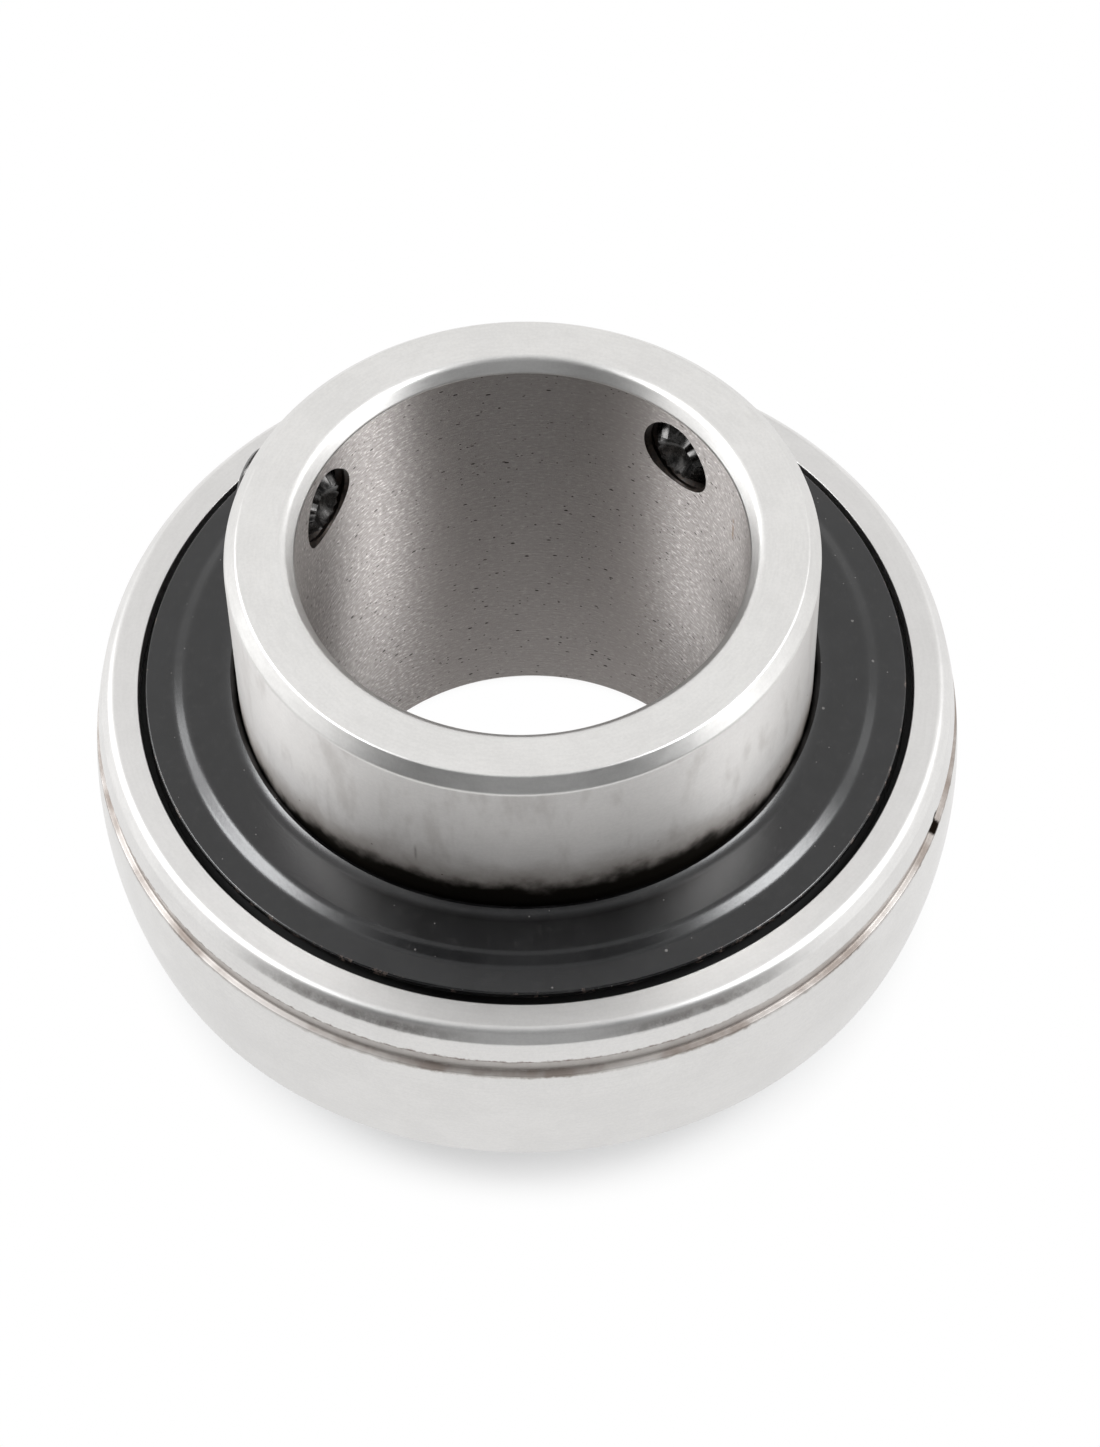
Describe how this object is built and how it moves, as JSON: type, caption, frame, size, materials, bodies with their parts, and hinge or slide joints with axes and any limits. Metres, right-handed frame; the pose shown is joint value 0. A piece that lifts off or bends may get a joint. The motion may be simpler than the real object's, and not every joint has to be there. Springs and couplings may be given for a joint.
{
  "type": "insert bearing",
  "caption": "Wide inner ring ball bearing with a spherical outer ring, set-screw locking on the shaft, rubber seals and steel slingers.",
  "frame": {"origin": "on the bearing's axis, in the end face of the inner ring's short side, on which the bearing stands", "axes": "+Z along the bearing's axis towards the set-screw side; +X to the right in the picture"},
  "size_m": [0.08, 0.08, 0.0492],
  "materials": {
    "ring_steel": "ground",
    "ball_steel": "polished",
    "cage_steel": "pressed",
    "seal_rubber": "matte",
    "black_steel": "black coated",
    "screw_steel": "black oxide"
  },
  "bodies": {
    "outer": {"outer_ring": "ring_steel", "seal_upper": "seal_rubber", "seal_lower": "seal_rubber"},
    "inner": {"inner_ring": "ring_steel", "slinger_upper": "black_steel", "slinger_lower": "black_steel"},
    "cage": {"cage_upper": "cage_steel", "cage_lower": "cage_steel", "cage_rivet_1": "cage_steel", "cage_rivet_2": "cage_steel", "cage_rivet_3": "cage_steel", "cage_rivet_4": "cage_steel", "cage_rivet_5": "cage_steel", "cage_rivet_6": "cage_steel", "cage_rivet_7": "cage_steel", "cage_rivet_8": "cage_steel", "cage_rivet_9": "cage_steel"},
    "ball_body_1": {"ball_1": "ball_steel"},
    "ball_body_2": {"ball_2": "ball_steel"},
    "ball_body_3": {"ball_3": "ball_steel"},
    "ball_body_4": {"ball_4": "ball_steel"},
    "ball_body_5": {"ball_5": "ball_steel"},
    "ball_body_6": {"ball_6": "ball_steel"},
    "ball_body_7": {"ball_7": "ball_steel"},
    "ball_body_8": {"ball_8": "ball_steel"},
    "ball_body_9": {"ball_9": "ball_steel"},
    "screw_body_1": {"set_screw_1": "screw_steel"},
    "screw_body_2": {"set_screw_2": "screw_steel"}
  },
  "joints": [
    {"name": "inner_ring_spin", "type": "hinge", "parent": "outer", "child": "inner", "pos_m": [0, 0, 0.019], "axis": [0, 0, 1], "continuous": true},
    {"name": "cage_spin", "type": "hinge", "parent": "outer", "child": "cage", "pos_m": [0, 0, 0.019], "axis": [0, 0, 1], "continuous": true},
    {"name": "ball_1_spin", "type": "hinge", "parent": "cage", "child": "ball_body_1", "pos_m": [0.03, 0, 0.019], "axis": [0, 0, 1], "continuous": true},
    {"name": "ball_2_spin", "type": "hinge", "parent": "cage", "child": "ball_body_2", "pos_m": [0.02298, 0.01928, 0.019], "axis": [0, 0, 1], "continuous": true},
    {"name": "ball_3_spin", "type": "hinge", "parent": "cage", "child": "ball_body_3", "pos_m": [0.00521, 0.02954, 0.019], "axis": [0, 0, 1], "continuous": true},
    {"name": "ball_4_spin", "type": "hinge", "parent": "cage", "child": "ball_body_4", "pos_m": [-0.015, 0.02598, 0.019], "axis": [0, 0, 1], "continuous": true},
    {"name": "ball_5_spin", "type": "hinge", "parent": "cage", "child": "ball_body_5", "pos_m": [-0.02819, 0.01026, 0.019], "axis": [0, 0, 1], "continuous": true},
    {"name": "ball_6_spin", "type": "hinge", "parent": "cage", "child": "ball_body_6", "pos_m": [-0.02819, -0.01026, 0.019], "axis": [0, 0, 1], "continuous": true},
    {"name": "ball_7_spin", "type": "hinge", "parent": "cage", "child": "ball_body_7", "pos_m": [-0.015, -0.02598, 0.019], "axis": [0, 0, 1], "continuous": true},
    {"name": "ball_8_spin", "type": "hinge", "parent": "cage", "child": "ball_body_8", "pos_m": [0.00521, -0.02954, 0.019], "axis": [0, 0, 1], "continuous": true},
    {"name": "ball_9_spin", "type": "hinge", "parent": "cage", "child": "ball_body_9", "pos_m": [0.02298, -0.01928, 0.019], "axis": [0, 0, 1], "continuous": true},
    {"name": "set_screw_1_travel", "type": "slide", "parent": "inner", "child": "screw_body_1", "axis": [-0.7059, -0.7083, 0], "range_m": [-0.0026, 0.0016]},
    {"name": "set_screw_2_travel", "type": "slide", "parent": "inner", "child": "screw_body_2", "axis": [0.8878, -0.4602, 0], "range_m": [-0.0026, 0.0016]}
  ],
  "couplings": [
    {"joint": "cage_spin", "follows": "inner_ring_spin", "ratio": 0.4},
    {"joint": "ball_1_spin", "follows": "inner_ring_spin", "ratio": -2.4},
    {"joint": "ball_2_spin", "follows": "inner_ring_spin", "ratio": -2.4},
    {"joint": "ball_3_spin", "follows": "inner_ring_spin", "ratio": -2.4},
    {"joint": "ball_4_spin", "follows": "inner_ring_spin", "ratio": -2.4},
    {"joint": "ball_5_spin", "follows": "inner_ring_spin", "ratio": -2.4},
    {"joint": "ball_6_spin", "follows": "inner_ring_spin", "ratio": -2.4},
    {"joint": "ball_7_spin", "follows": "inner_ring_spin", "ratio": -2.4},
    {"joint": "ball_8_spin", "follows": "inner_ring_spin", "ratio": -2.4},
    {"joint": "ball_9_spin", "follows": "inner_ring_spin", "ratio": -2.4}
  ]
}
